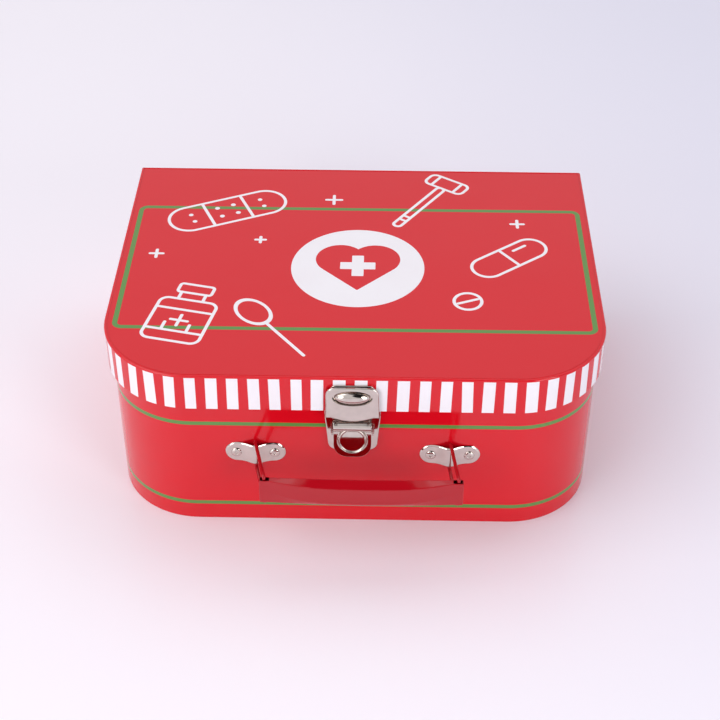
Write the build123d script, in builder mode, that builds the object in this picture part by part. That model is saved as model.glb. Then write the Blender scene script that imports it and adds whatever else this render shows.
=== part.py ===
from build123d import *
import os
from math import cos, radians, sin, tan

# A play doctor's case of paperboard: D-shaped plan with square rear corners,
# a shallow lid hinged along the rear, a nickel draw latch and a plastic handle.
# Frame: millimetres, +Z up, the front is -Y, and the origin is on the floor
# under the middle of the lid's plan.

# ---- driving dimensions: the paperboard box ----
case_width = 250.0        # lid, side to side
case_depth = 188.0        # lid, front to rear
case_height = 96.5        # floor to the top of the lid
corner_radius = 46.0      # lid's two front corners
rim_height = 20.5         # how far the lid comes down over the body
body_board = 2.0          # board of the base, walls and lid top
rim_board = 1.5           # board of the lid's rim
cover_sheet = 0.4         # printed sheet on the lid top
lining_sheet = 0.35       # lining papers
rim_clearance = 1.15      # between the rim's lining and the body wall
lid_clearance = 0.3       # between the lid's lining and the wall's top edge
glue_line = 0.05          # film of glue between boards and papers
hinge_slit = 0.4          # slit between body back and lid back at the hinge
hinge_strip_sheet = 0.4   # cloth of the outer hinge strip
hinge_strip_height = 26.0
hinge_strip_inset = 5.0   # from the body's sides
hinge_lining_drop = 12.0  # inner hinge paper below and above the slit

# ---- driving dimensions: handle brackets ----
cord_diameter = 1.8
cord_off_wall = 0.5       # cord in the bracket to the case front
bracket_spacing = 0.386 * case_width
bracket_height = 46.5     # centre above the floor
bracket_length = 30.0
bracket_width = 12.0
strap_sheet = 0.8
bridge_rise = cord_off_wall + cord_diameter + 0.2
bridge_half_foot = 6.6    # where the strap starts to rise
bridge_half_crown = cord_diameter / 2 + 0.35
bridge_bend_radius = 1.6
rivet_spacing = 19.0

# ---- driving dimensions: rivets ----
rivet_shank = 2.6
rivet_head = 4.8
rivet_head_height = 0.9
rivet_fit = 0.05          # radial, shank in hole
rivet_tail = 4.2
rivet_tail_height = 0.7
washer_diameter = 8.0
washer_sheet = 0.6

# ---- driving dimensions: handle ----
cord_corner_radius = 1.6
cord_over_grip = 0.3      # slack between the cord and the grip's edges
grip_length = bracket_spacing + 2.0
grip_height = 14.0
grip_end_thickness = 3.4
grip_bow = 3.2            # how far the front face bows out in the middle
grip_rear_bow = 2.0
grip_reach = 26.25        # bracket channel to the cord in the grip's eye
grip_shift = 4.8          # the slack loops let the grip hang to one side
grip_round = 1.2
eye_width = 2 * cord_diameter
eye_depth = cord_diameter + 0.4
eye_end_wall = 0.6        # plastic left between the eye and the grip's end

# ---- driving dimensions: latch ----
latch_sheet = 0.8
plate_top_width = 27.4
plate_bottom_width = 23.6
plate_bottom = 49.0       # heights above the floor
plate_top = 74.8
plate_corner = 4.0
pivot_height = 67.4       # the lever's fixed pivot
pivot_out = 3.6           # from the case front
pivot_pin = 1.8
link_drop = 4.5           # hook pin below the pivot when shut
link_in = 0.6             # hook pin behind the pivot, past dead centre
link_pin = 1.6
pin_fit = 0.05
ear_inner = 7.4           # half width inside the base plate's ears
ear_radius = 2.1
ear_neck = 2.6
flange_inner = 8.45       # half width inside the lever's flanges
flange_radius = 2.6
hook_ear_inner = 9.65     # half width inside the hook plate's ears
hook_ear_radius = 1.7
hook_ear_depth = 0.6      # ears behind the hook plate at their root
roll_radius = 3.2         # outside of the lever's rolled top
roll_start = 50.0         # degrees above the front
roll_end = -62.0
lever_tilt = 8.0          # degrees, the lower end stands out
lever_bottom = 50.2
lever_corner = 7.0
boss_height_on_lever = 60.2
boss_radius = 7.35
boss_rise = 1.7
dish_radius = 6.1
dish_depth = 0.6
hook_top_width = 25.4
hook_bottom_width = 26.2
hook_top = 91.9
hook_shoulder = 73.6
hook_chin = 71.4          # lowest point of the hook plate's curved lower edge
hook_corner = 4.2
hook_bend = 77.4          # height of the shallow bend
hook_lower_lean = 0.45    # the part below the bend leans out by this
hook_clearance = 0.6      # hook plate to strike plate
slot_width = 19.4
slot_height = 9.2
slot_centre = 85.7
tongue_width = 17.6
tongue_height = 7.4
tongue_rise = 3.4
strike_width = 22.0
strike_top = 92.6
strike_bottom = 77.6
strike_corner = 3.5
strike_rivet_spacing = 13.0
strike_rivet_height = 79.4
strike_head = 3.0
strike_head_height = 0.3
plate_rivet_spacing = 9.0
plate_rivet_height = 55.0
edge_round = 0.3          # softened edges of the pressed plates

# ---- places worked out from them ----
front_y = -case_depth / 2
rear_y = case_depth / 2
rim_z = case_height - rim_height
lid_board_top = case_height - cover_sheet
lid_board_bottom = lid_board_top - body_board
rim_stack = rim_board + glue_line + lining_sheet
body_inset = rim_stack + rim_clearance - glue_line
body_front = front_y + body_inset
body_half_width = case_width / 2 - body_inset
wall_top = lid_board_bottom - glue_line - lining_sheet - lid_clearance
body_back_inner = rear_y - body_board
inner_inset = body_inset + body_board
lining_inset = inner_inset + glue_line
lining_inner_inset = lining_inset + lining_sheet
body_back_top = rim_z - hinge_slit / 2
lid_back_bottom = rim_z + hinge_slit / 2
cut_length = 3 * case_width
bracket_x = (-bracket_spacing / 2, bracket_spacing / 2)
cord_y = body_front - cord_off_wall - cord_diameter / 2
eye_y = cord_y - grip_reach
pivot_y = body_front - pivot_out
link_y = pivot_y + link_in
link_z = pivot_height - link_drop
strike_front = front_y - latch_sheet
hook_rear = strike_front - hook_clearance
hook_front = hook_rear - latch_sheet


def facing_front(y):
    """Plane that looks to the front: its x is X, its y is Z, its normal is -Y."""
    return Plane.XZ.offset(-y)


def d_plan(inset, rear):
    """Plan of the case, drawn in by inset: two round front corners, square rear."""
    width = case_width - 2 * inset
    front = front_y + inset
    with BuildSketch() as plan:
        with Locations((0, (front + rear) / 2)):
            Rectangle(width, rear - front)
        fillet(plan.vertices().group_by(Axis.Y)[0], corner_radius - inset)
    return plan.sketch


def front_spots(xs, y, z):
    """Places on the case front, each turned so that its axis points out."""
    return [Plane((x, y, z), x_dir=(1, 0, 0), z_dir=(0, -1, 0)).location for x in xs]


def turned_rivet(head_radius, head_height, tail_start):
    """One tubular rivet: soft-edged head at the outside, shank, clinched tail."""
    tail_end = tail_start + rivet_tail_height
    with BuildPart() as rivet:
        with BuildSketch(Plane.XY):
            Circle(head_radius)
        extrude(amount=head_height)
        fillet(rivet.edges().group_by(Axis.Z)[-1], head_height * 0.7)
        with BuildSketch(Plane.XY):
            Circle(rivet_shank / 2)
        extrude(amount=-tail_end)
        with BuildSketch(Plane.XY.offset(-tail_end)):
            Circle(rivet_tail / 2)
        extrude(amount=rivet_tail_height)
    return rivet.part


def washer_ring(hole_radius):
    """One flat backing washer, its outer face at zero, lying inward."""
    with BuildPart() as washer:
        with BuildSketch(Plane.XY):
            Circle(washer_diameter / 2)
            Circle(hole_radius, mode=Mode.SUBTRACT)
        extrude(amount=-washer_sheet)
    return washer.part


os.makedirs("parts", exist_ok=True)

rivet_hole = rivet_shank / 2 + rivet_fit
lining_back_y = body_back_inner - glue_line
bracket_rivet_x = [x + s * rivet_spacing / 2 for x in bracket_x for s in (-1, 1)]
plate_rivet_x = [-plate_rivet_spacing / 2, plate_rivet_spacing / 2]
strike_rivet_x = [-strike_rivet_spacing / 2, strike_rivet_spacing / 2]
bracket_spots = front_spots(bracket_rivet_x, body_front, bracket_height)
plate_spots = front_spots(plate_rivet_x, body_front, plate_rivet_height)
strike_spots = front_spots(strike_rivet_x, front_y, strike_rivet_height)
bore_depth = 3 * body_board

# ---- body: boards ----

with BuildPart() as base_board:
    # bottom board, set inside the walls
    with BuildSketch(Plane.XY):
        add(d_plan(inner_inset + glue_line, body_back_inner - glue_line))
    extrude(amount=body_board)

with BuildPart() as body_wall:
    # one strip bent round the front and both sides, open at the rear
    with BuildSketch(Plane.XY):
        add(d_plan(body_inset, body_back_inner))
        add(d_plan(inner_inset, rear_y), mode=Mode.SUBTRACT)
    extrude(amount=wall_top)
    with Locations(*bracket_spots, *plate_spots):
        Cylinder(rivet_hole, bore_depth, mode=Mode.SUBTRACT)

with BuildPart() as body_back_board:
    # flat rear board, up to the hinge slit
    with BuildSketch(Plane.XY):
        with Locations((0, rear_y - body_board / 2)):
            Rectangle(2 * body_half_width, body_board)
    extrude(amount=body_back_top)

with BuildPart() as body_lining:
    # paper inside the walls; its rear stops below the hinge slit
    with BuildSketch(Plane.XY.offset(body_board + glue_line)):
        add(d_plan(lining_inset, lining_back_y))
        add(d_plan(lining_inner_inset, lining_back_y - lining_sheet), mode=Mode.SUBTRACT)
    extrude(amount=wall_top - body_board - glue_line)
    with BuildSketch(Plane.XY.offset(body_back_top)):
        with Locations((0, rear_y - lining_sheet)):
            Rectangle(case_width, 2 * (body_board + 2 * lining_sheet))
    extrude(amount=case_height, mode=Mode.SUBTRACT)
    with Locations(*bracket_spots, *plate_spots):
        Cylinder(rivet_hole, bore_depth, mode=Mode.SUBTRACT)

with BuildPart() as base_lining:
    with BuildSketch(Plane.XY.offset(body_board + glue_line)):
        add(
            d_plan(
                lining_inner_inset + glue_line,
                lining_back_y - lining_sheet - glue_line,
            )
        )
    extrude(amount=lining_sheet)

# ---- hinge: cloth outside, paper inside ----

with BuildPart() as hinge_strip:
    with BuildSketch(Plane.XY.offset(rim_z - hinge_strip_height / 2)):
        with Locations((0, rear_y + glue_line + hinge_strip_sheet / 2)):
            Rectangle(2 * (body_half_width - hinge_strip_inset), hinge_strip_sheet)
    extrude(amount=hinge_strip_height)

lid_back_inner = rear_y - rim_board
hinge_paper_low = lining_back_y - lining_sheet - glue_line
hinge_paper_high = lid_back_inner - glue_line
with BuildPart() as hinge_lining:
    # steps back from the body's lining to the lid's rear board at the slit
    with BuildSketch(Plane.YZ):
        with BuildLine():
            Polyline(
                (hinge_paper_low, rim_z - hinge_lining_drop),
                (hinge_paper_low, lid_back_bottom),
                (hinge_paper_high, lid_back_bottom),
                (hinge_paper_high, rim_z + hinge_lining_drop),
                (hinge_paper_high - lining_sheet, rim_z + hinge_lining_drop),
                (hinge_paper_high - lining_sheet, lid_back_bottom + lining_sheet),
                (hinge_paper_low - lining_sheet, lid_back_bottom + lining_sheet),
                (hinge_paper_low - lining_sheet, rim_z - hinge_lining_drop),
                close=True,
            )
        make_face()
    extrude(amount=body_half_width - 2 * hinge_strip_inset, both=True)

# ---- lid: boards ----

with BuildPart() as lid_board:
    with BuildSketch(Plane.XY.offset(lid_board_bottom)):
        add(d_plan(0, rear_y))
    extrude(amount=body_board)

with BuildPart() as lid_cover:
    # printed sheet glued on the top board
    with BuildSketch(Plane.XY.offset(lid_board_top)):
        add(d_plan(0, rear_y))
    extrude(amount=cover_sheet)

with BuildPart() as lid_rim:
    # one strip bent round the front and both sides, open at the rear
    with BuildSketch(Plane.XY.offset(rim_z)):
        add(d_plan(0, lid_back_inner))
        add(d_plan(rim_board, rear_y + rim_board), mode=Mode.SUBTRACT)
    extrude(amount=lid_board_bottom - rim_z)
    with Locations(*strike_spots):
        Cylinder(rivet_hole, bore_depth, mode=Mode.SUBTRACT)

with BuildPart() as lid_back_board:
    with BuildSketch(Plane.XY.offset(lid_back_bottom)):
        with Locations((0, rear_y - rim_board / 2)):
            Rectangle(case_width, rim_board)
    extrude(amount=lid_board_bottom - lid_back_bottom)

with BuildPart() as lid_lining:
    with BuildSketch(Plane.XY.offset(lid_board_bottom - glue_line - lining_sheet)):
        add(d_plan(rim_board + glue_line, lid_back_inner - glue_line))
    extrude(amount=lining_sheet)

with BuildPart() as rim_lining:
    with BuildSketch(Plane.XY.offset(rim_z)):
        add(d_plan(rim_board + glue_line, lid_back_inner - glue_line))
        add(d_plan(rim_stack, rear_y + rim_board), mode=Mode.SUBTRACT)
    extrude(amount=lid_board_bottom - 2 * glue_line - lining_sheet - rim_z)
    with Locations(*strike_spots):
        Cylinder(rivet_hole, bore_depth, mode=Mode.SUBTRACT)

# ---- handle brackets: pressed straps with a raised bridge ----


def bracket_strap(centre_x):
    """Strap with round ends; its middle rises to leave a channel for the cord."""
    half = bracket_length / 2
    middle = body_front - strap_sheet / 2
    crown = middle - bridge_rise
    with BuildPart() as strap:
        with BuildSketch(Plane.XY.offset(bracket_height - bracket_width / 2)):
            with BuildLine():
                FilletPolyline(
                    (centre_x - half, middle),
                    (centre_x - bridge_half_foot, middle),
                    (centre_x - bridge_half_crown, crown),
                    (centre_x + bridge_half_crown, crown),
                    (centre_x + bridge_half_foot, middle),
                    (centre_x + half, middle),
                    radius=bridge_bend_radius,
                )
            trace(line_width=strap_sheet)
        extrude(amount=bracket_width)
        with BuildSketch(facing_front(0)):
            with Locations((centre_x, bracket_height)):
                SlotOverall(bracket_length, bracket_width)
        extrude(amount=case_depth, mode=Mode.INTERSECT)
        with Locations(
            *front_spots(
                [centre_x - rivet_spacing / 2, centre_x + rivet_spacing / 2],
                body_front,
                bracket_height,
            )
        ):
            Cylinder(rivet_hole, bore_depth, mode=Mode.SUBTRACT)
    return strap.part


with BuildPart() as handle_bracket_left:
    add(bracket_strap(bracket_x[0]))

with BuildPart() as handle_bracket_right:
    add(bracket_strap(bracket_x[1]))

# ---- rivets and their backing washers ----

wall_stack = body_board + glue_line + lining_sheet
bracket_rivet = turned_rivet(
    rivet_head / 2, rivet_head_height, strap_sheet + wall_stack + washer_sheet
)
with BuildPart() as bracket_rivets:
    with Locations(*front_spots(bracket_rivet_x, body_front - strap_sheet, bracket_height)):
        add(bracket_rivet)

wall_inner_y = body_front + wall_stack
with BuildPart() as bracket_washers:
    with Locations(*front_spots(bracket_rivet_x, wall_inner_y, bracket_height)):
        add(washer_ring(rivet_hole))

plate_rivet = turned_rivet(
    rivet_head / 2, rivet_head_height, latch_sheet + wall_stack + washer_sheet
)
with BuildPart() as latch_base_rivets:
    with Locations(*front_spots(plate_rivet_x, body_front - latch_sheet, plate_rivet_height)):
        add(plate_rivet)

with BuildPart() as latch_base_washers:
    with Locations(*front_spots(plate_rivet_x, wall_inner_y, plate_rivet_height)):
        add(washer_ring(rivet_hole))

# the lid's rivets end flush inside, where the body wall passes close by
strike_rivet_depth = rim_stack
with BuildPart() as strike_rivets:
    with BuildSketch(facing_front(strike_front)):
        with Locations(*[(x, strike_rivet_height) for x in strike_rivet_x]):
            Circle(strike_head / 2)
    extrude(amount=strike_head_height)
    with BuildSketch(facing_front(strike_front)):
        with Locations(*[(x, strike_rivet_height) for x in strike_rivet_x]):
            Circle(rivet_shank / 2)
    extrude(amount=-(latch_sheet + strike_rivet_depth))

# ---- handle: grip and two cord loops ----

grip_front = eye_y - grip_end_thickness / 2
grip_rear = eye_y + grip_end_thickness / 2
grip_left = grip_shift - grip_length / 2
grip_right = grip_shift + grip_length / 2
grip_bottom = bracket_height - grip_height / 2
eye_inset = eye_end_wall + eye_width / 2
eye_x = (grip_left + eye_inset, grip_right - eye_inset)

with BuildPart() as handle_grip:
    # bowed band with soft edges and a slot-shaped eye through each end
    with BuildSketch(Plane.XY.offset(grip_bottom)):
        with BuildLine():
            ThreePointArc(
                (grip_left, grip_front),
                (grip_shift, grip_front - grip_bow),
                (grip_right, grip_front),
            )
            Line((grip_right, grip_front), (grip_right, grip_rear))
            ThreePointArc(
                (grip_right, grip_rear),
                (grip_shift, grip_rear - grip_rear_bow),
                (grip_left, grip_rear),
            )
            Line((grip_left, grip_rear), (grip_left, grip_front))
        make_face()
    extrude(amount=grip_height)
    long_edges = handle_grip.edges().filter_by(GeomType.CIRCLE)
    fillet(long_edges, grip_round)
    with BuildSketch(Plane.XY.offset(grip_bottom)):
        with Locations(*[(x, eye_y) for x in eye_x]):
            SlotOverall(eye_width, eye_depth)
    extrude(amount=grip_height, mode=Mode.SUBTRACT)


def cord_loop(anchor_x, loop_eye_x):
    """Closed loop of round cord: up the bracket channel, out, down the eye, back."""
    half = grip_height / 2 + cord_over_grip + cord_diameter / 2
    upper = bracket_height + half
    lower = bracket_height - half
    corners = [
        (anchor_x, cord_y, upper),
        (loop_eye_x, eye_y, upper),
        (loop_eye_x, eye_y, lower),
        (anchor_x, cord_y, lower),
    ]
    with BuildPart() as loop:
        with BuildLine() as route:
            FilletPolyline(*corners, radius=cord_corner_radius, close=True)
        with BuildSketch(Plane(route.line @ 0, z_dir=route.line % 0)):
            Circle(cord_diameter / 2)
        sweep(path=route.line)
    return loop.part


with BuildPart() as handle_loop_left:
    add(cord_loop(bracket_x[0], eye_x[0]))

with BuildPart() as handle_loop_right:
    add(cord_loop(bracket_x[1], eye_x[1]))

# ---- latch: base plate with two ears ----

with BuildPart() as latch_base_plate:
    taper_start = pivot_height + roll_radius
    with BuildSketch(facing_front(body_front)):
        with BuildLine():
            Polyline(
                (-plate_top_width / 2, plate_top),
                (-plate_top_width / 2, taper_start),
                (-plate_bottom_width / 2, plate_bottom),
                (plate_bottom_width / 2, plate_bottom),
                (plate_top_width / 2, taper_start),
                (plate_top_width / 2, plate_top),
                close=True,
            )
        plate_face = make_face()
        fillet(plate_face.vertices().group_by(Axis.Y)[0], plate_corner)
    extrude(amount=latch_sheet)
    for side in (-1, 1):
        middle_x = side * (ear_inner + latch_sheet / 2)
        with BuildSketch(Plane.YZ.offset(middle_x)):
            with Locations((pivot_y, pivot_height)):
                Circle(ear_radius)
            with Locations(((pivot_y + body_front - latch_sheet) / 2, pivot_height)):
                Rectangle(pivot_out - latch_sheet, ear_neck)
        extrude(amount=latch_sheet / 2, both=True)
    with Locations(Location((0, pivot_y, pivot_height), (0, 90, 0))):
        Cylinder(pivot_pin / 2 + pin_fit, 2 * hook_ear_inner, mode=Mode.SUBTRACT)
    with Locations(*plate_spots):
        Cylinder(rivet_hole, bore_depth, mode=Mode.SUBTRACT)

# ---- latch: pins ----

pivot_half_length = flange_inner + latch_sheet + 0.15
with BuildPart() as lever_pin:
    with Locations(Location((0, pivot_y, pivot_height), (0, 90, 0))):
        Cylinder(pivot_pin / 2, 2 * pivot_half_length)

link_half_length = hook_ear_inner + latch_sheet + 0.3
with BuildPart() as hook_pin:
    with Locations(Location((0, link_y, link_z), (0, 90, 0))):
        Cylinder(link_pin / 2, 2 * link_half_length)

# ---- latch: lever, one pressed plate with a rolled top and a round boss ----

roll_middle = roll_radius - latch_sheet / 2
roll_bottom = (
    pivot_y - roll_middle * cos(radians(roll_end)),
    pivot_height + roll_middle * sin(radians(roll_end)),
)
lean = tan(radians(lever_tilt))
lever_foot = (
    roll_bottom[0] - lean * (roll_bottom[1] - lever_bottom),
    lever_bottom,
)
boss_y = roll_bottom[0] - lean * (roll_bottom[1] - boss_height_on_lever)
lever_half_width = flange_inner + latch_sheet
boss_plane = Plane(
    (0, boss_y, boss_height_on_lever),
    x_dir=(1, 0, 0),
    z_dir=(0, -cos(radians(lever_tilt)), sin(radians(lever_tilt))),
)

with BuildPart() as latch_lever:
    with BuildSketch(Plane.YZ):
        with BuildLine():
            ThreePointArc(
                (
                    pivot_y - roll_middle * cos(radians(roll_start)),
                    pivot_height + roll_middle * sin(radians(roll_start)),
                ),
                (pivot_y - roll_middle, pivot_height),
                roll_bottom,
            )
            Line(roll_bottom, lever_foot)
        trace(line_width=latch_sheet)
    extrude(amount=lever_half_width, both=True)
    with BuildSketch(facing_front(0)) as lever_outline:
        with Locations((0, (lever_bottom + hook_top) / 2)):
            Rectangle(2 * lever_half_width, hook_top - lever_bottom)
        fillet(lever_outline.vertices().group_by(Axis.Y)[0], lever_corner)
    extrude(amount=case_depth, mode=Mode.INTERSECT)
    for side in (-1, 1):
        middle_x = side * (flange_inner + latch_sheet / 2)
        with BuildSketch(Plane.YZ.offset(middle_x)) as flange:
            with BuildLine():
                CenterArc((pivot_y, pivot_height), flange_radius, 0, 360)
                CenterArc((link_y, link_z), hook_ear_radius, 0, 360)
            make_hull()
            with BuildLine():
                Polyline(
                    roll_bottom,
                    (pivot_y, pivot_height - flange_radius),
                    (link_y, link_z - hook_ear_radius),
                    (roll_bottom[0] - lean * (roll_bottom[1] - link_z), link_z),
                    close=True,
                )
            make_face()
        extrude(amount=latch_sheet / 2, both=True)
    with BuildSketch(boss_plane):
        Circle(boss_radius)
    extrude(amount=boss_rise)
    with BuildSketch(boss_plane.offset(boss_rise)):
        Circle(dish_radius)
    extrude(amount=-dish_depth, mode=Mode.SUBTRACT)
    with Locations(Location((0, pivot_y, pivot_height), (0, 90, 0))):
        Cylinder(pivot_pin / 2 + pin_fit, 2 * hook_ear_inner, mode=Mode.SUBTRACT)
    with Locations(Location((0, link_y, link_z), (0, 90, 0))):
        Cylinder(link_pin / 2 + pin_fit, 2 * hook_ear_inner, mode=Mode.SUBTRACT)

# ---- latch: hook plate with its slot, hung on the lever by two ears ----

with BuildPart() as hook_plate:
    with BuildSketch(Plane.YZ):
        with BuildLine():
            Polyline(
                (hook_rear, hook_top),
                (hook_rear, hook_bend),
                (hook_rear - hook_lower_lean, hook_chin),
                (hook_front - hook_lower_lean, hook_chin),
                (hook_front, hook_bend),
                (hook_front, hook_top),
                close=True,
            )
        make_face()
    extrude(amount=hook_bottom_width / 2, both=True)
    with BuildSketch(facing_front(0)) as hook_outline:
        with BuildLine():
            Polyline(
                (-hook_ear_inner - latch_sheet, hook_shoulder),
                (-hook_bottom_width / 2, hook_shoulder),
                (-hook_top_width / 2, hook_top),
                (hook_top_width / 2, hook_top),
                (hook_bottom_width / 2, hook_shoulder),
                (hook_ear_inner + latch_sheet, hook_shoulder),
            )
            ThreePointArc(
                (hook_ear_inner + latch_sheet, hook_shoulder),
                (0, hook_chin),
                (-hook_ear_inner - latch_sheet, hook_shoulder),
            )
        make_face()
        fillet(hook_outline.vertices().group_by(Axis.Y)[-1], hook_corner)
        with Locations((0, slot_centre)):
            Ellipse(slot_width / 2, slot_height / 2, mode=Mode.SUBTRACT)
    extrude(amount=case_depth, mode=Mode.INTERSECT)
    ear_top = rim_z - hook_clearance
    for side in (-1, 1):
        middle_x = side * (hook_ear_inner + latch_sheet / 2)
        with BuildSketch(Plane.YZ.offset(middle_x)):
            with BuildLine():
                CenterArc((link_y, link_z), hook_ear_radius, 0, 360)
                Line((hook_front, hook_shoulder), (hook_front, ear_top))
                Line((hook_front, ear_top), (hook_rear + hook_ear_depth, ear_top))
            make_hull()
        extrude(amount=latch_sheet / 2, both=True)
    with Locations(Location((0, link_y, link_z), (0, 90, 0))):
        Cylinder(link_pin / 2 + pin_fit, 3 * hook_ear_inner, mode=Mode.SUBTRACT)

# ---- latch: strike plate on the lid's rim, with the raised tongue ----

with BuildPart() as tongue:
    # front half of a flattened ball
    Sphere(1)
    scale(by=(tongue_width / 2, tongue_rise, tongue_height / 2))
    split(bisect_by=Plane.XZ, keep=Keep.TOP)

with BuildPart() as strike_plate:
    with BuildSketch(facing_front(front_y)):
        with Locations((0, (strike_top + strike_bottom) / 2)):
            RectangleRounded(strike_width, strike_top - strike_bottom, strike_corner)
    extrude(amount=latch_sheet)
    with Locations((0, strike_front, slot_centre)):
        add(tongue.part)
    with Locations(*strike_spots):
        Cylinder(rivet_hole, bore_depth, mode=Mode.SUBTRACT)

# ---- write each piece ----

pieces = {
    "base_board": base_board,
    "body_wall": body_wall,
    "body_back_board": body_back_board,
    "body_lining": body_lining,
    "base_lining": base_lining,
    "hinge_strip": hinge_strip,
    "hinge_lining": hinge_lining,
    "lid_board": lid_board,
    "lid_cover": lid_cover,
    "lid_rim": lid_rim,
    "lid_back_board": lid_back_board,
    "lid_lining": lid_lining,
    "rim_lining": rim_lining,
    "handle_bracket_left": handle_bracket_left,
    "handle_bracket_right": handle_bracket_right,
    "bracket_rivets": bracket_rivets,
    "bracket_washers": bracket_washers,
    "latch_base_plate": latch_base_plate,
    "latch_base_rivets": latch_base_rivets,
    "latch_base_washers": latch_base_washers,
    "strike_plate": strike_plate,
    "strike_rivets": strike_rivets,
    "handle_grip": handle_grip,
    "handle_loop_left": handle_loop_left,
    "handle_loop_right": handle_loop_right,
    "lever_pin": lever_pin,
    "hook_pin": hook_pin,
    "latch_lever": latch_lever,
    "hook_plate": hook_plate,
}
for name, piece in pieces.items():
    piece.part.label = name
    export_step(piece.part, f"parts/{name}.step")
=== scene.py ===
from math import atan2, cos, pi, radians, sin, tan

import bpy
from mathutils import Matrix, Vector


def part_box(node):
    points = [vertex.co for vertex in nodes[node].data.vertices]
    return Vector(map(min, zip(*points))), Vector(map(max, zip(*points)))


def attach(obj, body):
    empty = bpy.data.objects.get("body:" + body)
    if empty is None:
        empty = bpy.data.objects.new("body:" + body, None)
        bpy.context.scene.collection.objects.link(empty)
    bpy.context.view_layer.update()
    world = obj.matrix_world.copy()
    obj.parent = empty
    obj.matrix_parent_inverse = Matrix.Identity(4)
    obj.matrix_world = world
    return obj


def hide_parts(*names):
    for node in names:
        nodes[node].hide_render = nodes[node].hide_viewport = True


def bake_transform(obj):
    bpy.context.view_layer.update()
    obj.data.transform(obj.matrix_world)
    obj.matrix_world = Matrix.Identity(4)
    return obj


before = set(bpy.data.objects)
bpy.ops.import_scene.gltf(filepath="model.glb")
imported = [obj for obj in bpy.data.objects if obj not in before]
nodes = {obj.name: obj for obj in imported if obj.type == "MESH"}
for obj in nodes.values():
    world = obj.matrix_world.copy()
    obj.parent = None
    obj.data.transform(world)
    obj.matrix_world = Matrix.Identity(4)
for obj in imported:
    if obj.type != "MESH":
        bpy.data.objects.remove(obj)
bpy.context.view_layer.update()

# ---------------------------------------------------------------------------------------
# Lid: a shallow tray of paperboard. A glossy printed sheet covers the top and turns over
# its edge by a millimetre, and a printed strip of white bars is glued round the rim below.
# ---------------------------------------------------------------------------------------

MM = 0.001
HAIR = 0.02 * MM  # how near two places have to be to count as the same

lid_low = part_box("lid_rim")[0]
cover_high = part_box("lid_cover")[1]
lid_high = Vector((cover_high.x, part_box("lid_back_board")[1].y, cover_high.z))
lid_corner = 46 * MM
lid_square_corner = 1.0 * MM
rim_thickness = 1.5 * MM
top_thickness = 2.4 * MM
turnover = 1.2 * MM  # how far the top sheet comes down the rim
strip_step = 0.12 * MM  # the bar strip lies this much below the turned edge
edge_round = 0.8 * MM


def select_nothing():
    """Leaves edit mode and deselects every object."""
    if bpy.context.object and bpy.context.object.mode == "EDIT":
        bpy.ops.object.mode_set(mode="OBJECT")
    bpy.ops.object.select_all(action="DESELECT")


def block(name, low, high):
    """A cube added at its size and place; its object stays at the origin."""
    select_nothing()
    low, high = Vector(low), Vector(high)
    bpy.ops.mesh.primitive_cube_add(size=1, location=(low + high) / 2, scale=high - low)
    piece = bpy.context.active_object
    piece.name = piece.data.name = name
    bpy.ops.object.transform_apply(location=True, rotation=True, scale=True)
    return piece


def pick(piece, kind, test):
    """Edits a piece with only those corners, edges or faces selected whose middle and way pass."""
    bpy.context.view_layer.objects.active = piece
    bpy.ops.object.mode_set(mode="OBJECT")
    mesh = piece.data
    kinds = ("vertices", "edges", "polygons")
    bpy.context.tool_settings.mesh_select_mode = [kind == k for k in kinds]
    for group in kinds:
        items = getattr(mesh, group)
        items.foreach_set("select", [False] * len(items))
    if kind == "vertices":
        found = [(corner.co, corner.normal) for corner in mesh.vertices]
    elif kind == "edges":
        ends = [[mesh.vertices[i].co for i in edge.vertices] for edge in mesh.edges]
        found = [((a + b) / 2, (b - a).normalized()) for a, b in ends]
    else:
        found = [(face.center, face.normal) for face in mesh.polygons]
    getattr(mesh, kind).foreach_set("select", [bool(test(*pair)) for pair in found])
    bpy.ops.object.mode_set(mode="EDIT")


def same(a, b):
    return abs(a - b) < HAIR


def upright(way):
    return abs(way.z) > 0.9


def apply_modifier(piece, kind, **settings):
    """Adds a modifier with these settings and applies it."""
    bpy.context.view_layer.objects.active = piece
    bpy.ops.object.mode_set(mode="OBJECT")
    modifier = piece.modifiers.new("step", kind)
    for name, value in settings.items():
        setattr(modifier, name, value)
    bpy.ops.object.modifier_apply(modifier=modifier.name)


def smooth_edges(piece, width=0, segments=3, sharp=35, flat=True):
    """Rounds the hard edges by a width, smooths the shading and keeps the flats flat."""
    if width:
        apply_modifier(
            piece,
            "BEVEL",
            width=width,
            segments=segments,
            limit_method="ANGLE",
            angle_limit=radians(sharp),
        )
    select_nothing()
    piece.select_set(True)
    bpy.context.view_layer.objects.active = piece
    bpy.ops.object.shade_smooth_by_angle(angle=radians(sharp))
    if flat:
        apply_modifier(piece, "WEIGHTED_NORMAL", keep_sharp=True)


lid = block("lid_shell", lid_low, lid_high)
pick(lid, "edges", lambda middle, way: upright(way) and middle.y < 0)
bpy.ops.mesh.bevel(offset=lid_corner, segments=28, affect="EDGES", clamp_overlap=False)
pick(lid, "edges", lambda middle, way: upright(way) and same(middle.y, lid_high.y))
bpy.ops.mesh.bevel(offset=lid_square_corner, segments=4, affect="EDGES")
pick(lid, "polygons", lambda middle, way: way.z < -0.9)
bpy.ops.mesh.delete(type="FACE")
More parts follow.
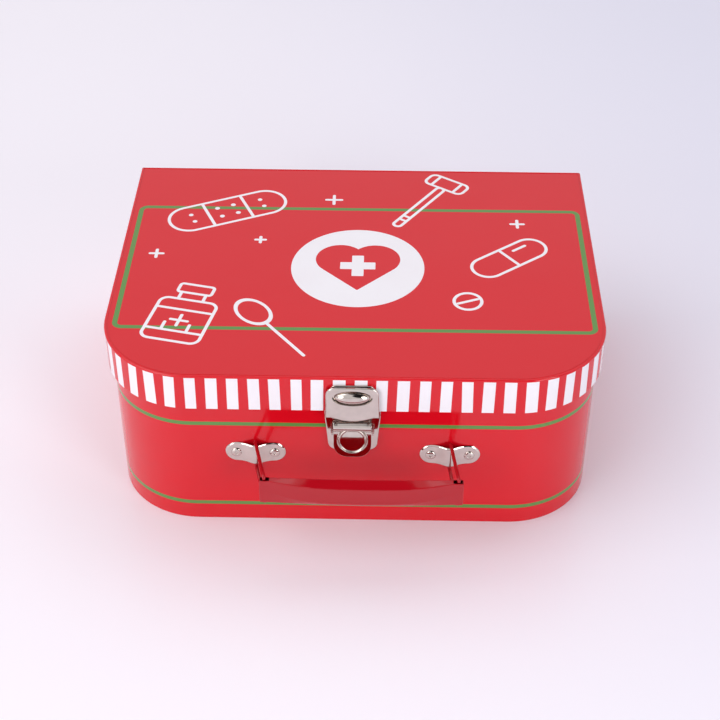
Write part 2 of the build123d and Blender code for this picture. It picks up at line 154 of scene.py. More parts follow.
# the wall below the turned edge steps in by the thickness of the top sheet
pick(lid, "polygons", lambda middle, way: True)
bpy.ops.mesh.bisect(plane_co=(0, 0, lid_high.z - turnover), plane_no=(0, 0, 1))
pick(lid, "polygons", lambda middle, way: middle.z < lid_high.z - turnover)
bpy.ops.mesh.extrude_region_shrink_fatten(
    TRANSFORM_OT_shrink_fatten={"value": -strip_step, "use_even_offset": True}
)
pick(lid, "polygons", lambda middle, way: same(middle.z, lid_low.z))
bpy.ops.mesh.delete(type="FACE")
apply_modifier(lid, "SOLIDIFY", thickness=rim_thickness - strip_step, offset=-1, use_even_offset=True)
inner_top = lid_high.z - rim_thickness + strip_step
pick(lid, "polygons", lambda middle, way: same(middle.z, inner_top) and way.z < -0.9)
bpy.ops.transform.translate(value=(0, 0, lid_high.z - top_thickness - inner_top))
pick(lid, "edges", lambda middle, way: same(middle.z, lid_high.z) and not upright(way))
bpy.ops.mesh.bevel(offset=edge_round, segments=5, affect="EDGES")
pick(lid, "edges", lambda middle, way: same(middle.z, lid_low.z) and not upright(way))
bpy.ops.mesh.bevel(offset=0.3 * MM, segments=2, affect="EDGES")
smooth_edges(lid, sharp=40)

# the bars are drawn along the way round the rim, so each face keeps that length as its u
lid_straight = lid_high.x - lid_corner
lid_bend_y = lid_low.y + lid_corner


def way_round(point, rear):
    """Length along the rim from the middle of the front, or of the rear on the rear."""
    if rear or abs(point.x) <= lid_straight:
        return point.x
    side = 1 if point.x > 0 else -1
    if point.y < lid_bend_y:
        turn = atan2(abs(point.x) - lid_straight, lid_bend_y - point.y)
        return side * (lid_straight + lid_corner * turn)
    return side * (lid_straight + lid_corner * pi / 2 + point.y - lid_bend_y)


rim_map = lid.data.uv_layers.new(name="rim_wrap")
for face in lid.data.polygons:
    is_rear = face.normal.y > 0.7 and face.center.y > 0
    for corner in face.loop_indices:
        place = lid.data.vertices[lid.data.loops[corner].vertex_index].co
        rim_map.data[corner].uv = (way_round(place, is_rear), place.z)


class Wire:
    """One socket among a material's nodes. Python's operators on it add Math nodes."""

    def __init__(self, tree, socket=None):
        self.tree = tree
        self.socket = socket

    def node(self, kind, settings, inputs, output=0):
        """Adds a node: its settings first, then the values or links of its sockets."""
        made = self.tree.nodes.new("ShaderNode" + kind)
        for name, value in settings.items():
            setattr(made, name, value)
        for key, value in inputs.items():
            if isinstance(value, Wire):
                self.tree.links.new(value.socket, made.inputs[key])
            else:
                made.inputs[key].default_value = value
        return Wire(self.tree, made.outputs[output])

    def maths(self, operation, first, second=0.0):
        return self.node("Math", {"operation": operation}, {0: first, 1: second})

    def vector(self, operation, second=(0, 0, 0), third=(0, 0, 0), output=0):
        values = {0: self, 1: second, 2: third}
        return self.node("VectorMath", {"operation": operation}, values, output)

    def __add__(self, other):
        return self.maths("ADD", self, other)

    __radd__ = __add__

    def __sub__(self, other):
        return self.maths("SUBTRACT", self, other)

    def __rsub__(self, other):
        return self.maths("SUBTRACT", other, self)

    def __mul__(self, other):
        return self.maths("MULTIPLY", self, other)

    __rmul__ = __mul__

    def __truediv__(self, other):
        return self.maths("DIVIDE", self, other)

    def __gt__(self, other):
        return self.maths("GREATER_THAN", self, other)

    def __lt__(self, other):
        return self.maths("LESS_THAN", self, other)

    def __abs__(self):
        return self.maths("ABSOLUTE", self)

    def lesser(self, other):
        return self.maths("MINIMUM", self, other)

    def greater(self, other):
        return self.maths("MAXIMUM", self, other)

    def colours(self, ground, over):
        """Mixes two colours; this wire is the share of the second."""
        return self.node("Mix", {"data_type": "RGBA"}, {0: self, 6: ground, 7: over}, 2)

    def soft_step(self, start, end):
        """Rises smoothly from 0 at start to 1 at end."""
        ends = {"Value": self, "From Min": start, "From Max": end}
        return self.node("MapRange", {"interpolation_type": "SMOOTHSTEP"}, ends)

    def noise(self, scale, detail=2.0):
        return self.node("TexNoise", {}, {"Vector": self, "Scale": scale, "Detail": detail})


INK_EDGE = 0.06 * MM  # how far a printed edge bleeds


def printed(distance):
    """1 inside a printed outline and 0 outside it."""
    return distance.soft_step(INK_EDGE, -INK_EDGE)


def local(point, centre, turned=0.0, scale=(1, 1, 1)):
    """A motif's own coordinates, from its centre in millimetres and its turn in degrees."""
    place = {
        "Vector": point,
        "Location": (centre[0] * MM, centre[1] * MM, 0),
        "Rotation": (0, 0, radians(turned)),
        "Scale": scale,
    }
    return point.node("Mapping", {"vector_type": "TEXTURE"}, place)


def round_box(point, half_x, half_y, corner):
    """Distance to a box with round corners, all in millimetres but the result."""
    reach = ((half_x - corner) * MM, (half_y - corner) * MM, 1)
    outside = point.vector("ABSOLUTE").vector("SUBTRACT", reach).vector("MAXIMUM")
    return outside.vector("LENGTH", output=1) - corner * MM


def disc(point, centre, radius):
    away = point.vector("DISTANCE", (centre[0] * MM, centre[1] * MM, 0), output=1)
    return away - radius * MM


def stroke(point, start, end):
    """Distance to a straight pen stroke between two points in millimetres."""
    start, end = Vector((*start, 0)) * MM, Vector((*end, 0)) * MM
    along = end - start
    offset = point.vector("SUBTRACT", start)
    share = offset.vector("DOT_PRODUCT", along / along.length_squared, output=1)
    held = point.node("Clamp", {}, {"Value": share})
    return held.vector("MULTIPLY_ADD", -along, offset).vector("LENGTH", output=1)


def nearest(*distances):
    found = distances[0]
    for other in distances[1:]:
        found = found.lesser(other)
    return found


def plus_sign(point, centre, arm):
    here = local(point, centre)
    return nearest(round_box(here, arm, 0, 0), round_box(here, 0, arm, 0))


def new_material(name):
    """An empty material and a wire to build it with, and the object's own coordinates."""
    material = bpy.data.materials.new(name)
    material.use_nodes = True
    material.node_tree.nodes.clear()
    wire = Wire(material.node_tree)
    return material, wire, wire.node("TexCoord", {}, {}, "Object")


def surface(wire, **inputs):
    """The shader and the material's output; an underscore stands for a space."""
    named = {name.replace("_", " "): value for name, value in inputs.items()}
    shader = wire.node("BsdfPrincipled", {}, named)
    output = wire.tree.nodes.new("ShaderNodeOutputMaterial")
    wire.tree.links.new(shader.socket, output.inputs["Surface"])


def give(piece, material):
    """Makes this the piece's only material."""
    piece.data.materials.clear()
    piece.data.materials.append(material)


red_ink = (0.66, 0.0035, 0.012, 1)
green_ink = (0.095, 0.27, 0.06, 1)
white_ink = (0.88, 0.865, 0.91, 1)


def laminated(wire, point, ink):
    """Gloss film over print: faint ink grain, board waves, and a rubbed look in patches."""
    blotches = point.noise(30, 3)
    grain = point.noise(2600, 2)
    tint = (blotches * 0.10 + grain * 0.07).soft_step(0.03, 0.15)
    shaded = (tint * 0.10).colours(ink, (0.46, 0.002, 0.008, 1))
    waves = point.noise(26, 1.5) * (0.34 * MM) + point.noise(95, 1) * (0.035 * MM)
    skin = point.noise(900, 2) * (0.0022 * MM)
    bump = wire.node("Bump", {}, {"Distance": 1.0, "Height": waves + skin})
    scuffs = point.noise(420, 4).soft_step(0.60, 0.78)
    surface(
        wire,
        Base_Color=shaded,
        Roughness=0.085 + blotches * 0.05 + scuffs * 0.05,
        IOR=1.5,
        Normal=bump,
    )


lid_print, wire, point = new_material("printed_lid")
flat_point = point.vector("MULTIPLY", (1, 1, 0))
LINE = 0.85  # half the width of the drawn white lines, in millimetres

# plaster strip, top left
strip = local(flat_point, (-72, 50), 24)
mirrored = strip.vector("ABSOLUTE")
plaster = nearest(
    abs(round_box(strip, 33, 11.5, 11.4)),
    stroke(mirrored, (11, 0), (11, 11.5)),
    disc(mirrored, (4.6, 4.2), 0.5),
    disc(mirrored, (20, 3.4), 0.4),
)
# medicine bottle, bottom left
bottle_place = local(flat_point, (-86, -43), -13)
bottle = nearest(
    abs(round_box(local(bottle_place, (0, -7)), 15, 17, 4.5)),
    stroke(bottle_place.vector("ABSOLUTE"), (6.5, 10), (6.5, 16)),
    abs(round_box(local(bottle_place, (0, 19.5)), 9, 3.6, 1.6)),
    stroke(bottle_place, (-15, 1.5), (15, 1.5)),
    stroke(bottle_place, (-15, -16), (15, -16)),
    plus_sign(bottle_place, (0, -7.2), 4.4),
)
# spoon with a drop, left of the disc's front
spoon_place = local(flat_point, (-45, -50), -52)
spoon = nearest(
    abs(disc(local(spoon_place, (-10, 0), 0, (1.5, 1, 1)), (0, 0), 7.5)),
    stroke(spoon_place, (1.2, 0), (34, 0)),
)
# reflex hammer, top right
hammer_place = local(flat_point, (33, 56), 56)
hammer = nearest(
    abs(round_box(hammer_place, 23, 2.3, 2.2)),
    abs(round_box(local(hammer_place, (28.2, 0)), 5.2, 12, 3.4)),
    stroke(hammer_place, (-12, -2.3), (-12, 2.3)),
    stroke(hammer_place, (-16, -2.3), (-16, 2.3)),
    stroke(local(hammer_place, (28.2, 0)).vector("ABSOLUTE"), (0, 7), (5.2, 7)),
)
# capsule and tablet, right of the disc
capsule_place = local(flat_point, (80, 8), 38)
capsule = nearest(
    abs(round_box(capsule_place, 23, 8.6, 8.5)),
    stroke(capsule_place, (0, -8.6), (0, 8.6)),
    stroke(capsule_place, (6, 3.6), (14, 3.6)),
    abs(disc(flat_point, (57, -31), 7)),
    stroke(flat_point, (52, -33), (62, -29)),
)
small_signs = nearest(
    plus_sign(flat_point, (-14, 62), 4.2),
    plus_sign(flat_point, (86, 40), 3.4),
    plus_sign(flat_point, (-106, 8), 3.4),
    plus_sign(flat_point, (-52, 22), 2.6),
)
drawn = printed(nearest(plaster, bottle, spoon, hammer, capsule, small_signs) - LINE * MM)

# green frame, and the white disc with a heart and a small plus in its middle
frame_line = printed(abs(round_box(local(flat_point, (0, -1.65)), 119.4, 54.25, 3.6)) - 1.3 * MM)
disc_place = local(flat_point, (0.5, -2.4))
white_disc = printed(disc(disc_place, (0, 0), 34.75))
heart_place = local(disc_place, (0, -1.9))
lobes = disc(heart_place.vector("ABSOLUTE"), (9.19, 9.19), 13)
heart = heart_place.node("SeparateXYZ", {}, {"Vector": heart_place}, "Y").soft_step(-1e-6, 1e-6)
upper_lobes = lobes + (1 - heart) * 1.0
heart = printed(nearest(round_box(local(heart_place, (0, 0), 45), 13, 13, 0.6), upper_lobes))
plus_place = local(disc_place, (0, 1.4))
plus = printed(
    nearest(round_box(plus_place, 9.2, 3.1, 0.4), round_box(plus_place, 3.1, 9.2, 0.4))
)

# white bars round the rim, each a little out of true as if cut by hand
bar_pitch = 10.27 * MM
bar_start = 24.3 * MM
bar_half = 2.82 * MM
bar_top = lid_high.z - turnover + 0.02 * MM
place_round = wire.node("UVMap", {"uv_map": "rim_wrap"}, {})
across = place_round.node("SeparateXYZ", {}, {"Vector": place_round}, "X") - bar_start
height = point.node("SeparateXYZ", {}, {"Vector": point}, "Z")
number = wire.maths("ROUND", across / bar_pitch)
chance = wire.node("TexWhiteNoise", {"noise_dimensions": "1D"}, {"W": number + 0.37}, "Color")
channels = ("Red", "Green", "Blue")
chances = [wire.node("SeparateColor", {}, {"Color": chance}, name) for name in channels]
middle_height = (lid_low.z + bar_top) / 2
lean = (chances[0] - 0.5) * 0.055
bar_middle = number * bar_pitch + (chances[1] - 0.5) * (0.7 * MM) + lean * (height - middle_height)
bar_width = bar_half + (chances[2] - 0.5) * (0.5 * MM)
bars = printed(abs(across - bar_middle) - bar_width) * (height < bar_top)

ink = drawn.colours(frame_line.colours(red_ink, green_ink), white_ink)
ink = white_disc.colours(ink, white_ink)
ink = heart.colours(ink, red_ink)
ink = plus.colours(ink, white_ink)
ink = (height > lid_high.z - 0.5 * MM).colours(red_ink, ink)
ink = bars.colours(ink, white_ink)
laminated(wire, point, ink)
give(lid, lid_print)
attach(lid, "case_lid")
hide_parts("lid_cover", "lid_board", "lid_rim", "lid_back_board")

# ---------------------------------------------------------------------------------------
# Linings: thin uncoated paper glued inside the body and the lid, cut a little short of the
# edges. The base board is bare grey board underneath.
# ---------------------------------------------------------------------------------------

lining_paper, wire, point = new_material("lining_paper")
fibres = point.noise(700, 5)
clouds = point.noise(45, 3)
tone = (fibres * 0.5 + clouds * 0.5).soft_step(0.3, 0.7)
surface(
    wire,
    Base_Color=tone.colours((0.80, 0.77, 0.72, 1), (0.88, 0.86, 0.82, 1)),
    Roughness=0.72 + fibres * 0.15,
    Normal=wire.node("Bump", {}, {"Distance": 1.0, "Height": fibres * (0.02 * MM)}),
)
grey_board, wire, point = new_material("grey_board")
flecks = point.vector("MULTIPLY", (1, 0.35, 1)).noise(900, 4)
tone = (flecks * 0.7 + point.noise(60, 3) * 0.3).soft_step(0.35, 0.65)
surface(
    wire,
    Base_Color=tone.colours((0.30, 0.27, 0.23, 1), (0.42, 0.39, 0.34, 1)),
    Roughness=0.8 + flecks * 0.1,
    Normal=wire.node("Bump", {}, {"Distance": 1.0, "Height": flecks * (0.04 * MM)}),
)
for name in ("body_lining", "base_lining", "lid_lining", "rim_lining"):
    give(nodes[name], lining_paper)
give(nodes["base_board"], grey_board)

# ---------------------------------------------------------------------------------------
# Body: one strip of paperboard bent round the front and sides, with a flat rear board that
# ends at the hinge. One printed, laminated sheet is wrapped round both.
# ---------------------------------------------------------------------------------------

body_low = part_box("body_wall")[0]
wall_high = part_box("body_wall")[1]
back_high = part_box("body_back_board")[1]
body_high = Vector((wall_high.x, back_high.y, wall_high.z))
wall_thickness = 2.0 * MM
body_corner = 43 * MM
back_top = back_high.z
side_end = body_high.y - wall_thickness

body = block("body_shell", body_low, body_high)
pick(body, "edges", lambda middle, way: upright(way) and middle.y < 0)
bpy.ops.mesh.bevel(offset=body_corner, segments=28, affect="EDGES", clamp_overlap=False)
pick(body, "edges", lambda middle, way: upright(way) and same(middle.y, body_high.y))
bpy.ops.mesh.bevel(offset=1.0 * MM, segments=4, affect="EDGES")
pick(body, "polygons", lambda middle, way: upright(way))
bpy.ops.mesh.delete(type="FACE")
pick(body, "polygons", lambda middle, way: True)
bpy.ops.mesh.bisect(plane_co=(0, 0, back_top), plane_no=(0, 0, 1))
pick(body, "polygons", lambda middle, way: True)
bpy.ops.mesh.bisect(plane_co=(0, side_end, 0), plane_no=(0, 1, 0))
pick(body, "polygons", lambda middle, way: middle.y > side_end and middle.z > back_top)
bpy.ops.mesh.delete(type="FACE")
apply_modifier(body, "SOLIDIFY", thickness=wall_thickness, offset=-1, use_even_offset=True)
pick(body, "edges", lambda middle, way: same(middle.z, 0) and not upright(way))
bpy.ops.mesh.bevel(offset=0.25 * MM, segments=2, affect="EDGES")
smooth_edges(body, 0.25 * MM, 2, sharp=40)

body_print, wire, point = new_material("printed_body")
height = point.node("SeparateXYZ", {}, {"Vector": point}, "Z")
line_heights = (64.3 * MM, 10.9 * MM)
line_half = 1.12 * MM
lines = printed(nearest(*[abs(height - h) for h in line_heights]) - line_half)
laminated(wire, point, lines.colours(red_ink, green_ink))
give(body, body_print)
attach(body, "case_body")
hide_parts("body_wall", "body_back_board")

# ---------------------------------------------------------------------------------------
# Hinge: a strip of red book cloth glued across the slit outside, and a strip of paper
# inside.
# ---------------------------------------------------------------------------------------


def upright_sheet(name, low, high, columns, rows):
    """A flat sheet that stands facing the front, from one corner to the other."""
    select_nothing()
    bpy.ops.mesh.primitive_grid_add(
        size=1,
        x_subdivisions=columns,
        y_subdivisions=rows,
        location=((low.x + high.x) / 2, low.y, (low.z + high.z) / 2),
        rotation=(radians(90), 0, 0),
    )
    piece = bpy.context.active_object
    piece.name = piece.data.name = name
    piece.scale = (high.x - low.x, high.z - low.z, 1)
    bpy.ops.object.transform_apply(location=True, rotation=True, scale=True)
    return piece


cloth_low, cloth_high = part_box("hinge_strip")
hinge_cloth = upright_sheet("hinge_cloth", cloth_low, cloth_high, 30, 26)
pick(
    hinge_cloth,
    "vertices",
    lambda middle, way: same(abs(middle.x), cloth_high.x)
    and (same(middle.z, cloth_low.z) or same(middle.z, cloth_high.z)),
)
bpy.ops.mesh.bevel(offset=0.8 * MM, segments=3, affect="VERTICES")
apply_modifier(hinge_cloth, "SOLIDIFY", thickness=cloth_high.y - cloth_low.y, offset=-1)
smooth_edges(hinge_cloth, 0.12 * MM, 2, flat=False)

book_cloth, wire, point = new_material("book_cloth")
axes = [point.node("SeparateXYZ", {}, {"Vector": point}, name) for name in "XZ"]
thread = 0.55 * MM
warp = wire.maths("SINE", axes[0] * (2 * pi / thread))
weft = wire.maths("SINE", axes[1] * (2 * pi / thread))
weave = (warp * weft) * 0.5 + 0.5
slubs = point.vector("MULTIPLY", (1, 1, 6)).noise(350, 3)
tone = (weave * 0.6 + slubs * 0.4).soft_step(0.2, 0.8)
surface(
    wire,
    Base_Color=tone.colours((0.34, 0.004, 0.012, 1), (0.52, 0.008, 0.02, 1)),
    Roughness=0.55 + slubs * 0.2,
    Normal=wire.node(
        "Bump", {}, {"Distance": 1.0, "Height": weave * (0.05 * MM) + slubs * (0.03 * MM)}
    ),
)
give(hinge_cloth, book_cloth)
hinge_axis_z = lid_low.z
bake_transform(hinge_cloth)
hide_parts("hinge_strip")

paper_low, paper_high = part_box("hinge_lining")
paper_thickness = 0.35 * MM
paper_step = 0.9 * MM  # the lid's rear board is thinner than the body's
hinge_paper = upright_sheet("hinge_paper", paper_low, paper_high, 30, 24)
pick(hinge_paper, "vertices", lambda middle, way: middle.z > hinge_axis_z + 0.2 * MM)
bpy.ops.transform.translate(value=(0, paper_step, 0))
apply_modifier(hinge_paper, "SOLIDIFY", thickness=paper_thickness, offset=-1)
smooth_edges(hinge_paper, 0.1 * MM, 2, flat=False)
give(hinge_paper, lining_paper)
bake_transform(hinge_paper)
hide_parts("hinge_lining")

# ---------------------------------------------------------------------------------------
# Handle brackets: nickel-plated steel straps with round ends, pressed up into a bridge for
# the cord and bent along its crown. Each is held by two tubular rivets with domed heads.
# ---------------------------------------------------------------------------------------


def drawn_up(rounds):
    """How far press() draws a sheet's front up."""
    return sum(depth for _, depth in rounds) * MM


def press(piece, rounds):
    """Draws a sheet's front up in steps of (inset, depth), so its edge slopes away softly."""
    pick(piece, "polygons", lambda middle, way: way.y < -0.3)
    for inset, depth in rounds:
        bpy.ops.mesh.inset(thickness=inset * MM, depth=0, use_even_offset=False)
        bpy.ops.transform.translate(value=(0, -depth * MM, 0))
    bpy.ops.object.mode_set(mode="OBJECT")


strap_low, strap_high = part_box("handle_bracket_left")
strap_sheet = 0.8 * MM
strap_middle = (strap_low.x + strap_high.x) / 2
strap_rise = 2.5 * MM
foot = 6.6 * MM  # where the strap leaves the wall, either side of its middle
crown = 1.25 * MM
wall_front = strap_high.y
strap_rounds = ((0.42, 0.42), (0.4, 0.12))

strap = upright_sheet(
    "handle_bracket_strap_left", Vector((strap_low.x, wall_front, strap_low.z)), strap_high, 1, 1
)
for offset in (-foot, -crown, crown, foot):
    pick(strap, "polygons", lambda middle, way: True)
    bpy.ops.mesh.bisect(plane_co=(strap_middle + offset, 0, 0), plane_no=(1, 0, 0))
strap_end = (strap_high.x - strap_low.x) / 2
pick(strap, "vertices", lambda middle, way: same(abs(middle.x - strap_middle), strap_end))
bpy.ops.mesh.bevel(offset=(strap_high.z - strap_low.z) / 2 - HAIR, segments=12, affect="VERTICES")
pick(strap, "vertices", lambda middle, way: abs(middle.x - strap_middle) < crown + HAIR)
bpy.ops.transform.translate(value=(0, -strap_rise, 0))
pick(
    strap,
    "edges",
    lambda middle, way: upright(way) and same(abs(middle.x - strap_middle), foot),
)
bpy.ops.mesh.bevel(offset=2.4 * MM, segments=5, affect="EDGES")
pick(
    strap,
    "edges",
    lambda middle, way: upright(way) and same(abs(middle.x - strap_middle), crown),
)
bpy.ops.mesh.bevel(offset=0.9 * MM, segments=3, affect="EDGES")
apply_modifier(strap, "SOLIDIFY", thickness=strap_sheet - drawn_up(strap_rounds), offset=1)
pick(strap, "vertices", lambda middle, way: True)
bpy.ops.mesh.remove_doubles(threshold=3 * HAIR)
press(strap, strap_rounds)
smooth_edges(strap, 0, sharp=40)


def copied(piece, name, shift):
    """A copy with its own mesh, moved by a vector."""
    select_nothing()
    piece.select_set(True)
    bpy.context.view_layer.objects.active = piece
    bpy.ops.object.duplicate()
    twin = bpy.context.active_object
    twin.name = twin.data.name = name
    bpy.ops.transform.translate(value=shift)
    bpy.ops.object.transform_apply(location=True, rotation=True, scale=True)
    return twin


nickel, wire, point = new_material("nickel_plate")
brushing = point.vector("MULTIPLY", (1, 1, 9)).noise(520, 3)
haze = point.noise(240, 3)
spots = point.noise(1500, 2).soft_step(0.66, 0.74)
surface(
    wire,
    Base_Color=(spots * 0.25).colours(
        haze.soft_step(0.3, 0.7).colours((0.60, 0.535, 0.49, 1), (0.66, 0.59, 0.54, 1)),
        (0.50, 0.47, 0.45, 1),
    ),
    Metallic=1.0,
    Roughness=0.035 + haze * 0.04 + brushing * 0.02 + spots * 0.04,
    Normal=wire.node(
        "Bump",
        {},
        {"Distance": 1.0, "Height": haze * (0.006 * MM) + brushing * (0.0008 * MM)},
    ),
)
give(strap, nickel)
strap_span = Vector((-2 * strap_middle, 0, 0))
strap_right = copied(strap, "handle_bracket_strap_right", strap_span)
for piece, node in ((strap, "handle_bracket_left"), (strap_right, "handle_bracket_right")):
    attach(piece, "case_body")
    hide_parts(node)


def turned(name, place, rings, tilt=90.0, sides=48):
    """A turned piece: a disc drawn out ring by ring. Rings are (radius, height) in millimetres,
    from the inside out; tilt 90 points the axis straight out of the case front."""
    select_nothing()
    (radius, foot_height), (_, second) = rings[:2]
    bpy.ops.mesh.primitive_cylinder_add(
        vertices=sides,
        radius=radius * MM,
        depth=(second - foot_height) * MM or 0.01 * MM,
        location=(0, 0, (foot_height + second) / 2 * MM),
        end_fill_type="NGON",
    )
    piece = bpy.context.active_object
    piece.name = piece.data.name = name
    bpy.ops.object.transform_apply(location=True, rotation=True, scale=True)
    level = max(corner.co.z for corner in piece.data.vertices)
    pick(piece, "polygons", lambda middle, way: middle.z > level - HAIR / 4 and way.z > 0.9)
    width, height = radius, level / MM
    first = True
    for radius, up in rings[1:]:
        if not first:
            bpy.ops.mesh.extrude_region_move(
                TRANSFORM_OT_translate={"value": (0, 0, (up - height) * MM)}
            )
        ratio = radius / width
        bpy.ops.transform.resize(value=(ratio, ratio, 1), center_override=(0, 0, up * MM))
        width, height, first = radius, up, False
    bpy.ops.object.mode_set(mode="OBJECT")
    piece.rotation_euler = (radians(tilt), 0, 0)
    piece.location = place
    bpy.ops.object.transform_apply(location=True, rotation=True, scale=True)
    return piece


def joined(name, pieces):
    """Several pieces of one kind as one object."""
    select_nothing()
    for piece in pieces:
        piece.select_set(True)
    bpy.context.view_layer.objects.active = pieces[0]
    if len(pieces) > 1:
        bpy.ops.object.join()
    pieces[0].name = pieces[0].data.name = name
    return pieces[0]


# heights are from the strap's face; the tail is rolled over a washer inside the wall
rivet_rings = [
    (1.3, -4.5),
    (1.8, -4.5),
    (2.1, -4.2),
    (2.1, -3.9),
    (1.9, -3.8),
    (1.25, -3.8),
    (1.25, 0.0),
    (2.65, 0.0),
    (2.65, 0.1),
    (2.55, 0.3),
    (2.3, 0.55),
    (1.9, 0.76),
    (1.4, 0.9),
    (0.95, 0.93),
    (0.8, 0.85),
    (0.7, 0.55),
]
rivet_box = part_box("bracket_rivets")
rivet_height = (rivet_box[0].z + rivet_box[1].z) / 2
rivet_half = 9.5 * MM
strap_face = wall_front - strap_sheet
first_rivet = turned("rivet", (strap_middle - rivet_half, strap_face, rivet_height), rivet_rings)
smooth_edges(first_rivet, sharp=50, flat=False)
give(first_rivet, nickel)
shifts = (2 * rivet_half, -2 * strap_middle, -2 * strap_middle + 2 * rivet_half)
rivets = [first_rivet] + [copied(first_rivet, "rivet", (shift, 0, 0)) for shift in shifts]
bracket_rivets = joined("bracket_rivet_heads", rivets)
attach(bracket_rivets, "case_body")
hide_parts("bracket_rivets")

for name in ("bracket_washers", "latch_base_washers", "latch_base_rivets", "strike_rivets"):
    give(nodes[name], nickel)

# ---------------------------------------------------------------------------------------
# Grip: moulded glossy plastic, bowed outwards. The ends are flat with a slot for the cord.
# Between them the top slopes forwards, and a ridge sweeps down across the front.
# ---------------------------------------------------------------------------------------

grip_low, grip_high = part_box("handle_grip")
grip_middle = (grip_low.x + grip_high.x) / 2
grip_half = (grip_high.x - grip_low.x) / 2
front_bow = 3.2 * MM  # the middle of the front stands this much before its ends
grip_end_front = grip_low.y + front_bow
grip_end_rear = grip_high.y
rear_bow = 1.0 * MM
flat_end = 0.88  # share of the half length at which the swelling starts

# rows from the top to the bottom of the front, in millimetres: their height at the flat
# ends and at the middle, and how far they stand out at the middle
front_rows = (
    # end height, middle height, middle bow
    (14.0, 11.7, 2.4),
    (12.9, 11.1, 2.7),
    (9.6, 8.0, 2.6),
    (7.6, 3.9, 2.55),
    (7.0, 3.2, 3.15),
    (6.3, 2.3, 3.1),
    (3.2, 1.0, 2.2),
    (0.0, 0.0, 1.0),
)
columns = 20

grip = block(
    "handle_grip_moulded",
    (grip_low.x, grip_end_front, grip_low.z),
    (grip_high.x, grip_end_rear, grip_high.z),
)
for index in range(1, columns):
    share = index / columns
    cut = grip_low.x + share * (grip_high.x - grip_low.x)
    pick(grip, "polygons", lambda middle, way: True)
    bpy.ops.mesh.bisect(plane_co=(cut, 0, 0), plane_no=(1, 0, 0))
for end_height, _, _ in front_rows[1:-1]:
    pick(grip, "polygons", lambda middle, way: True)
    bpy.ops.mesh.bisect(plane_co=(0, 0, grip_low.z + end_height * MM), plane_no=(0, 0, 1))
for index in range(0, columns + 1):
    x = grip_low.x + index / columns * (grip_high.x - grip_low.x)
    across = (x - grip_middle) / grip_half
    swell = max(0.0, 1 - abs(across / flat_end) ** 3.0)
    bow = 1 - across * across
    for end_height, middle_height, middle_bow in front_rows:
        z = grip_low.z + end_height * MM
        pick(
            grip,
            "vertices",
            lambda middle, way: same(middle.x, x)
            and same(middle.z, z)
            and same(middle.y, grip_end_front),
        )
        bpy.ops.transform.translate(
            value=(0, -(middle_bow * swell) * MM, (middle_height - end_height) * swell * MM)
        )
    pick(grip, "vertices", lambda middle, way: same(middle.x, x) and same(middle.y, grip_end_rear))
    bpy.ops.transform.translate(value=(0, -rear_bow * bow, 0))
select_nothing()
cord_radius = 0.9 * MM
eye_half_x, eye_half_y = 1.8 * MM, 1.1 * MM
eye_corner = 1.05 * MM
overrun = 5 * MM  # how far the cutter stands past the grip
for node in ("handle_loop_left", "handle_loop_right"):
    loop_low, loop_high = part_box(node)
    eye_x = loop_high.x - cord_radius
    eye_y = loop_low.y + cord_radius
    slot = block(
        "slot",
        (eye_x - eye_half_x, eye_y - eye_half_y, grip_low.z - overrun),
        (eye_x + eye_half_x, eye_y + eye_half_y, grip_high.z + overrun),
    )
    pick(slot, "edges", lambda middle, way: upright(way))
    bpy.ops.mesh.bevel(offset=eye_corner, segments=6, affect="EDGES")
    select_nothing()
    apply_modifier(grip, "BOOLEAN", object=slot, operation="DIFFERENCE", solver="EXACT")
    bpy.data.objects.remove(slot)
smooth_edges(grip, 0.45 * MM, 3, sharp=50)

red_plastic, wire, point = new_material("red_plastic")
flow = point.vector("MULTIPLY", (1, 3, 3)).noise(120, 2)
ripple = point.noise(60, 1)
surface(
    wire,
    Base_Color=(flow * 0.15).colours((0.42, 0.003, 0.010, 1), (0.33, 0.002, 0.006, 1)),
    Roughness=0.07 + flow * 0.04,
    IOR=1.52,
    Normal=wire.node(
        "Bump", {}, {"Distance": 1.0, "Height": ripple * (0.06 * MM) + flow * (0.01 * MM)}
    ),
)
give(grip, red_plastic)
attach(grip, "carry_handle")
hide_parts("handle_grip")

# ---------------------------------------------------------------------------------------
# Handle loops: thin solid plastic cord, each a closed loop through the channel under a
# bracket's bridge and down through the slot at the grip's end.
# ---------------------------------------------------------------------------------------

